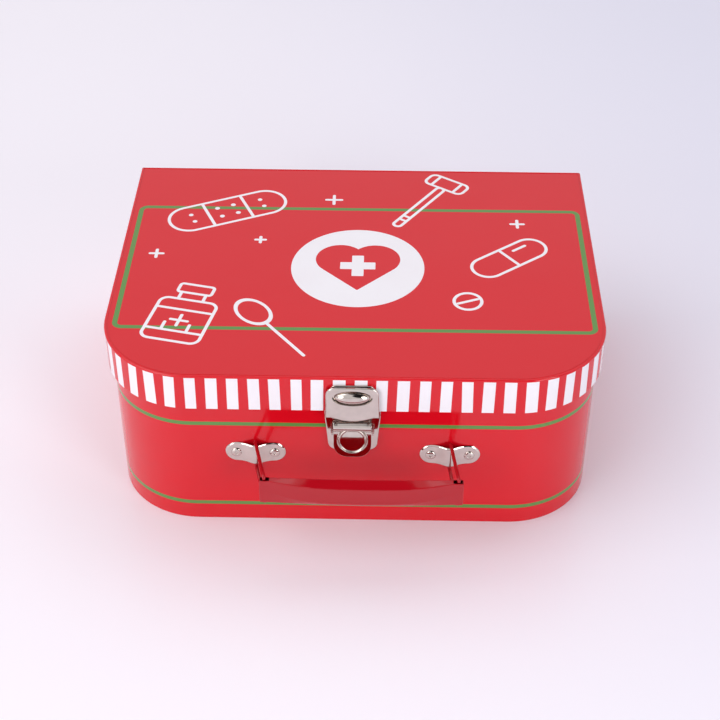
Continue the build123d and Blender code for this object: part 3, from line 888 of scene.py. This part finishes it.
def cord_loop(name, node):
    """A closed loop of round cord: four nearly straight legs with tight bends."""
    low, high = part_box(node)
    top, bottom = high.z - cord_radius, low.z + cord_radius
    inner = Vector((low.x + cord_radius, high.y - cord_radius, 0))
    outer = Vector((high.x - cord_radius, low.y + cord_radius, 0))
    bend = 0.09  # share of a long leg taken by each bend
    rise = 0.16 * (top - bottom)  # height of each bend on a short leg

    def spot(share, z):
        return (*(inner.lerp(outer, share).xy), z)

    points = [
        spot(0, bottom + rise),
        spot(0, top - rise),
        spot(0, top),
        spot(bend, top),
        spot(0.5, top - 0.25 * MM),
        spot(1 - bend, top),
        spot(1, top),
        spot(1, top - rise),
        spot(1, bottom + rise),
        spot(1, bottom),
        spot(1 - bend, bottom),
        spot(0.5, bottom + 0.2 * MM),
        spot(bend, bottom),
        spot(0, bottom),
    ]
    curve = bpy.data.curves.new(name, "CURVE")
    curve.dimensions = "3D"
    spline = curve.splines.new("NURBS")
    spline.points.add(len(points) - 1)
    for control, place in zip(spline.points, points):
        control.co = (*place, 1)
    spline.use_cyclic_u = True
    spline.order_u = 3
    spline.resolution_u = 6
    curve.bevel_depth = cord_radius
    curve.bevel_resolution = 5
    piece = bpy.data.objects.new(name, curve)
    bpy.context.scene.collection.objects.link(piece)
    select_nothing()
    piece.select_set(True)
    bpy.context.view_layer.objects.active = piece
    bpy.ops.object.convert(target="MESH")
    bpy.ops.object.shade_smooth()
    return bpy.context.active_object


for side in ("left", "right"):
    node = "handle_loop_" + side
    loop = cord_loop("cord_loop_" + side, node)
    give(loop, red_plastic)
    loop_low, loop_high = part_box(node)
    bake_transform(loop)
    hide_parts(node)

# ---------------------------------------------------------------------------------------
# Latch base plate: pressed nickel plate riveted under the lever, narrower below, with two
# ears that carry the lever's pin.
# ---------------------------------------------------------------------------------------

plate_low, plate_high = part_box("latch_base_plate")
plate_sheet = 0.8 * MM
plate_top_half = plate_high.x
plate_bottom_half = 11.8 * MM
plate_taper = 70.6 * MM
pin_low, pin_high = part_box("lever_pin")
pivot = (pin_low + pin_high) / 2


plate_rounds = ((0.3, 0.24), (0.5, 0.10))
base_plate = block(
    "latch_base",
    (plate_low.x, wall_front - plate_sheet + drawn_up(plate_rounds), plate_low.z),
    (plate_high.x, wall_front, plate_high.z),
)
pick(base_plate, "polygons", lambda middle, way: True)
bpy.ops.mesh.bisect(plane_co=(0, 0, plate_taper), plane_no=(0, 0, 1))
pick(base_plate, "vertices", lambda middle, way: same(middle.z, plate_low.z))
bpy.ops.transform.resize(value=(plate_bottom_half / plate_top_half, 1, 1), center_override=(0, 0, 0))
pick(
    base_plate,
    "edges",
    lambda middle, way: abs(way.y) > 0.9 and same(middle.z, plate_low.z),
)
bpy.ops.mesh.bevel(offset=4 * MM, segments=10, affect="EDGES")
pick(
    base_plate,
    "edges",
    lambda middle, way: abs(way.y) > 0.9 and same(middle.z, plate_high.z),
)
bpy.ops.mesh.bevel(offset=0.8 * MM, segments=3, affect="EDGES")
press(base_plate, plate_rounds)
# a trough pressed in behind the lever's rolled end lets it turn
trough_half, trough_low, trough_high = 10.0 * MM, 63.2 * MM, 71.6 * MM
for place, normal in (
    ((0, 0, trough_low), (0, 0, 1)),
    ((0, 0, trough_high), (0, 0, 1)),
    ((-trough_half, 0, 0), (1, 0, 0)),
    ((trough_half, 0, 0), (1, 0, 0)),
):
    pick(base_plate, "polygons", lambda middle, way: way.y < -0.9)
    bpy.ops.mesh.bisect(plane_co=place, plane_no=normal)
pick(
    base_plate,
    "polygons",
    lambda middle, way: way.y < -0.9
    and abs(middle.x) < trough_half
    and trough_low < middle.z < trough_high,
)
bpy.ops.mesh.inset(thickness=0.3 * MM, depth=-0.5 * MM)
bpy.ops.object.mode_set(mode="OBJECT")


def ear(name, x_low, x_high, y_low, y_high, z_low, z_high, corner):
    """A pressed ear: a small plate standing out, its free end rounded about the pin."""
    piece = block(name, (x_low, y_low, z_low), (x_high, y_high, z_high))
    pick(piece, "edges", lambda middle, way: abs(way.x) > 0.9 and same(middle.y, y_low))
    bpy.ops.mesh.bevel(offset=corner, segments=8, affect="EDGES")
    bpy.ops.object.mode_set(mode="OBJECT")
    return piece


ear_radius = 1.8 * MM
ears = []
for side in (-1, 1):
    inner_x, outer_x = sorted((side * 7.4 * MM, side * 8.2 * MM))
    ears.append(
        ear(
            "ear",
            inner_x,
            outer_x,
            pivot.y - ear_radius,
            wall_front - plate_sheet / 2,
            pivot.z - ear_radius,
            pivot.z + ear_radius,
            ear_radius - HAIR,
        )
    )
base_plate = joined("latch_base", [base_plate, *ears])
smooth_edges(base_plate, 0.14 * MM, 3, sharp=50)
give(base_plate, nickel)
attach(base_plate, "case_body")
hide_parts("latch_base_plate")
for name in ("lever_pin", "hook_pin"):
    give(nodes[name], nickel)

# ---------------------------------------------------------------------------------------
# Latch lever: one pressed nickel plate, rolled over its pin at the top, with side flanges
# and a round raised boss with a dished middle as the thumb piece.
# ---------------------------------------------------------------------------------------

lever_sheet = 0.8 * MM
roll_middle = 2.8 * MM  # pin centre to the middle of the rolled sheet
roll_start, roll_end = 78, -62
lever_tilt = radians(8)
lever_half = 9.25 * MM
lever_foot = 50.2 * MM
lever_corner = 7.0 * MM
roll_y = pivot.y - roll_middle * cos(radians(roll_end))
roll_z = pivot.z + roll_middle * sin(radians(roll_end))
foot_y = roll_y - tan(lever_tilt) * (roll_z - lever_foot)

lever = upright_sheet(
    "lever", Vector((-lever_half, roll_y, lever_foot)), Vector((lever_half, roll_y, roll_z)), 1, 1
)
pick(lever, "vertices", lambda middle, way: same(middle.z, lever_foot))
bpy.ops.transform.translate(value=(0, foot_y - roll_y, 0))
pick(lever, "vertices", lambda middle, way: same(middle.z, lever_foot))
bpy.ops.mesh.bevel(offset=lever_corner, segments=14, affect="VERTICES")
pick(lever, "edges", lambda middle, way: abs(way.x) > 0.9 and same(middle.z, roll_z))
bpy.ops.mesh.spin(
    steps=14,
    angle=radians(roll_start - roll_end),
    center=(0, pivot.y, pivot.z),
    axis=(1, 0, 0),
)
bpy.ops.mesh.select_all(action="SELECT")
bpy.ops.mesh.remove_doubles(threshold=HAIR / 4)
bpy.ops.mesh.normals_make_consistent(inside=False)
# notches in the rolled end let it turn past the base plate's ears
notch_inner, notch_outer = 7.15 * MM, 8.45 * MM
for cut in (-notch_outer, -notch_inner, notch_inner, notch_outer):
    pick(lever, "polygons", lambda middle, way: True)
    bpy.ops.mesh.bisect(plane_co=(cut, 0, 0), plane_no=(1, 0, 0))
pick(
    lever,
    "polygons",
    lambda middle, way: notch_inner < abs(middle.x) < notch_outer and middle.z > pivot.z + 1.65 * MM,
)
bpy.ops.mesh.delete(type="FACE")
apply_modifier(lever, "SOLIDIFY", thickness=lever_sheet, offset=0)

boss_height = 60.2 * MM
boss_tilt = 81  # a degree more than the lever's own, which mirrors the grip in the dish
boss_y = roll_y - tan(lever_tilt) * (roll_z - boss_height)
boss_rings = [
    (7.3, -0.5),
    (7.8, -0.5),
    (7.8, 0.35),
    (7.5, 0.42),
    (7.36, 0.6),
    (7.2, 1.3),
    (7.06, 1.75),
    (6.88, 2.02),
    (6.68, 2.1),
    (6.5, 2.02),
    (6.36, 1.8),
    (6.26, 1.5),
    (6.1, 1.36),
    (5.9, 1.31),
    (5.6, 1.3),
    (3.0, 1.3),
    (0.5, 1.3),
]
boss = turned("boss", (0, boss_y, boss_height), boss_rings, tilt=boss_tilt, sides=72)
flanges = []
for side in (-1, 1):
    inner_x, outer_x = sorted((side * 8.45 * MM, side * 9.25 * MM))
    flange = block(
        "flange",
        (inner_x, roll_y - 0.1 * MM, 61.6 * MM),
        (outer_x, pivot.y + 2.6 * MM, 69.9 * MM),
    )
    pick(flange, "edges", lambda middle, way: abs(way.x) > 0.9 and middle.y > pivot.y)
    bpy.ops.mesh.bevel(offset=2.2 * MM, segments=6, affect="EDGES")
    bpy.ops.object.mode_set(mode="OBJECT")
    flanges.append(flange)
smooth_edges(lever, 0.24 * MM, 3)
smooth_edges(boss, 0, sharp=60)
for flange in flanges:
    smooth_edges(flange, 0.2 * MM, 2)
lever = joined("latch_lever_pressed", [lever, boss, *flanges])
give(lever, nickel)
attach(lever, "lever")
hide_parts("latch_lever")

# ---------------------------------------------------------------------------------------
# Hook plate: pressed nickel plate with round shoulders and an oval slot, softly creased
# above its curved lower edge. Two ears behind it hang on the lever's hook pin.
# ---------------------------------------------------------------------------------------

hook_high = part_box("hook_plate")[1]
hook_sheet = 0.8 * MM
hook_front = -96.2 * MM
hook_rear = hook_front + hook_sheet
hook_chin = 71.4 * MM
hook_shoulder = 73.6 * MM
hook_bend = 77.4 * MM
bend_angle = 0.075  # radians, above the chin
hook_top_half, hook_bottom_half = 12.7 * MM, 13.1 * MM
hook_ear_outer = 10.45 * MM
slot_centre = 85.7 * MM

hook_rounds = ((0.25, 0.42), (0.5, 0.12))
hook = block(
    "hook",
    (-hook_bottom_half, hook_front + drawn_up(hook_rounds), hook_shoulder),
    (hook_bottom_half, hook_rear, hook_high.z),
)
pick(hook, "vertices", lambda middle, way: same(middle.z, hook_high.z))
bpy.ops.transform.resize(value=(hook_top_half / hook_bottom_half, 1, 1), center_override=(0, 0, 0))
pick(hook, "edges", lambda middle, way: abs(way.y) > 0.9 and same(middle.z, hook_high.z))
bpy.ops.mesh.bevel(offset=4.2 * MM, segments=12, affect="EDGES")
chin_columns = 12
for index in range(chin_columns + 1):
    cut = hook_ear_outer * (2 * index / chin_columns - 1)
    pick(hook, "polygons", lambda middle, way: way.z < -0.9 or abs(way.y) > 0.9)
    bpy.ops.mesh.bisect(plane_co=(cut, 0, 0), plane_no=(1, 0, 0))
for index in range(1, chin_columns):
    x = hook_ear_outer * (2 * index / chin_columns - 1)
    drop = (hook_shoulder - hook_chin) * (1 - (x / hook_ear_outer) ** 2)
    pick(hook, "vertices", lambda middle, way: same(middle.x, x) and same(middle.z, hook_shoulder))
    bpy.ops.transform.translate(value=(0, 0, -drop))
press(hook, hook_rounds)
pick(hook, "polygons", lambda middle, way: True)
bpy.ops.mesh.bisect(plane_co=(0, 0, hook_bend), plane_no=(0, 0, 1))
pick(hook, "vertices", lambda middle, way: middle.z < hook_bend - HAIR)
bpy.ops.transform.rotate(
    value=bend_angle,
    orient_axis="X",
    orient_type="GLOBAL",
    center_override=(0, hook_front, hook_bend),
)
select_nothing()
bpy.ops.mesh.primitive_cylinder_add(
    vertices=72,
    radius=9.7 * MM,
    depth=10 * MM,
    location=(0, hook_front, slot_centre),
    rotation=(radians(90), 0, 0),
    scale=(1, 9.2 / 19.4, 1),
)
slot_cutter = bpy.context.active_object
apply_modifier(hook, "BOOLEAN", object=slot_cutter, operation="DIFFERENCE", solver="EXACT")
bpy.data.objects.remove(slot_cutter)
smooth_edges(hook, 0.08 * MM, 2, sharp=50)
link_low, link_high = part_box("hook_pin")
link = (link_low + link_high) / 2
link_radius = 1.7 * MM
hook_ears = []
for side in (-1, 1):
    inner_x, outer_x = sorted((side * 9.65 * MM, side * hook_ear_outer))
    part = block(
        "hook_ear",
        (inner_x, hook_front - 0.1 * MM, link.z - link_radius),
        (outer_x, link.y + link_radius, 75.2 * MM),
    )
    pick(part, "vertices", lambda middle, way: middle.z > 70 * MM and middle.y > hook_front)
    bpy.ops.transform.translate(value=(0, hook_rear + 0.6 * MM - link.y - link_radius, 0))
    pick(part, "vertices", lambda middle, way: middle.z < 70 * MM and middle.y < hook_front)
    bpy.ops.transform.translate(value=(0, link.y - link_radius - hook_front + 0.1 * MM, 0))
    pick(part, "edges", lambda middle, way: abs(way.x) > 0.9 and middle.z < 70 * MM)
    bpy.ops.mesh.bevel(offset=link_radius * 0.92, segments=8, affect="EDGES")
    smooth_edges(part, 0.2 * MM, 2)
    hook_ears.append(part)
hook = joined("hook_plate_pressed", [hook, *hook_ears])
give(hook, nickel)
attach(hook, "hook")
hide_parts("hook_plate")

# ---------------------------------------------------------------------------------------
# Strike plate: small nickel plate riveted to the lid's rim, with a pressed half-oval
# tongue over which the hook plate's slot drops.
# ---------------------------------------------------------------------------------------

strike_low, strike_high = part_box("strike_plate")
strike_face = lid_low.y - 0.8 * MM
strike = block(
    "strike",
    (strike_low.x, strike_face, strike_low.z),
    (strike_high.x, lid_low.y, strike_high.z),
)
pick(strike, "edges", lambda middle, way: abs(way.y) > 0.9)
bpy.ops.mesh.bevel(offset=3.5 * MM, segments=10, affect="EDGES")
smooth_edges(strike, 0.25 * MM, 3)
select_nothing()
bpy.ops.mesh.primitive_uv_sphere_add(
    segments=64,
    ring_count=32,
    radius=1,
    location=(0, strike_face, slot_centre),
    scale=(8.8 * MM, strike_face - strike_low.y, 3.7 * MM),
)
tongue = bpy.context.active_object
bpy.ops.object.transform_apply(location=True, rotation=True, scale=True)
pick(tongue, "polygons", lambda middle, way: True)
bpy.ops.mesh.bisect(
    plane_co=(0, strike_face + 0.1 * MM, 0), plane_no=(0, 1, 0), clear_outer=True, use_fill=True
)
smooth_edges(tongue, 0, sharp=60, flat=False)
strike = joined("strike_plate_pressed", [strike, tongue])
give(strike, nickel)
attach(strike, "case_lid")
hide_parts("strike_plate")

# ---------------------------------------------------------------------------------------
# Table and light: a pale, slightly glossy table top with painted shade darkening it towards
# the right and rear, four soft lights, and a pale room with a dark patch to the front right
# and another overhead, which nickel shows as dark lines.
# ---------------------------------------------------------------------------------------

select_nothing()
bpy.ops.mesh.primitive_plane_add(size=40, location=(0, 0, 0))
floor = bpy.context.active_object
floor.name = floor.data.name = "floor"
table_top, wire, point = new_material("table_top")
placed = [point.node("SeparateXYZ", {}, {"Vector": point}, name) for name in "XY"]
# painted shade: the table top's colour darkens and turns bluer towards the right and rear, standing
# in for the light falling off away from the key light on the left
painted_shade_right = (placed[0] * 0.85 + placed[1] * 0.25).soft_step(-0.12, 0.42)
tint = painted_shade_right.colours((0.94, 0.895, 0.965, 1), (0.79, 0.775, 0.90, 1))
surface(wire, Base_Color=tint, Roughness=0.28, IOR=1.4)
give(floor, table_top)


def soft_light(name, place, target, size, power, colour=(1, 1, 1)):
    lamp = bpy.data.lights.new(name, "AREA")
    lamp.shape = "RECTANGLE"
    lamp.size, lamp.size_y = size
    lamp.energy = power
    lamp.color = colour
    holder = bpy.data.objects.new(name, lamp)
    holder.location = place
    holder.rotation_euler = (Vector(target) - Vector(place)).to_track_quat("-Z", "Y").to_euler()
    bpy.context.scene.collection.objects.link(holder)


soft_light("key_light", (-1.1, -0.35, 1.3), (0, 0, 0.03), (1.2, 1.2), 7.5, (1, 0.99, 0.985))
soft_light("top_light", (0.3, 0.5, 1.7), (0, 0, 0.03), (1.6, 1.2), 4)
soft_light("left_front_light", (-1.0, -1.3, 0.55), (0, 0, 0.03), (0.6, 0.8), 5)
soft_light("right_front_light", (1.0, -1.3, 0.55), (0, 0, 0.03), (0.6, 0.8), 9)

world = bpy.data.worlds.new("pale_room")
bpy.context.scene.world = world
world.use_nodes = True
world.node_tree.nodes.clear()
wire = Wire(world.node_tree)
way = wire.node("TexCoord", {}, {}, "Generated")
towards_front = way.vector("DOT_PRODUCT", (0.46, -0.62, 0.64), output=1)
overhead = way.vector("DOT_PRODUCT", (0.14, -0.10, 0.985), output=1)
rise = way.node("SeparateXYZ", {}, {"Vector": way}, "Z")
dark = (towards_front.soft_step(0.86, 0.91) * rise.soft_step(0.20, 0.28)).greater(
    overhead.soft_step(0.925, 0.955)
)
shade = dark.colours((0.93, 0.925, 0.96, 1), (0.02, 0.018, 0.02, 1))
sky = wire.node("Background", {}, {"Color": shade, "Strength": 0.88})
output = world.node_tree.nodes.new("ShaderNodeOutputWorld")
world.node_tree.links.new(sky.socket, output.inputs["Surface"])

# ---------------------------------------------------------------------------------------
# Camera: above the front, looking down at the lid, as the reference view does.
# ---------------------------------------------------------------------------------------

camera_data = bpy.data.cameras.new("camera")
camera_data.lens = 76.76
camera_data.sensor_width = 36
camera = bpy.data.objects.new("camera", camera_data)
right = Vector((0.99977219, 0.02131307, 0.00114993))
down = Vector((0.01422077, -0.62496784, -0.78052096))
forward = Vector((-0.01591663, 0.7803595, -0.62512856))
turn = Matrix((right, -down, -forward)).transposed()
camera.matrix_world = Matrix.Translation((0.015117, -0.657815, 0.559565)) @ turn.to_4x4()
bpy.context.scene.collection.objects.link(camera)
bpy.context.scene.camera = camera
bpy.context.scene.view_settings.view_transform = "Standard"
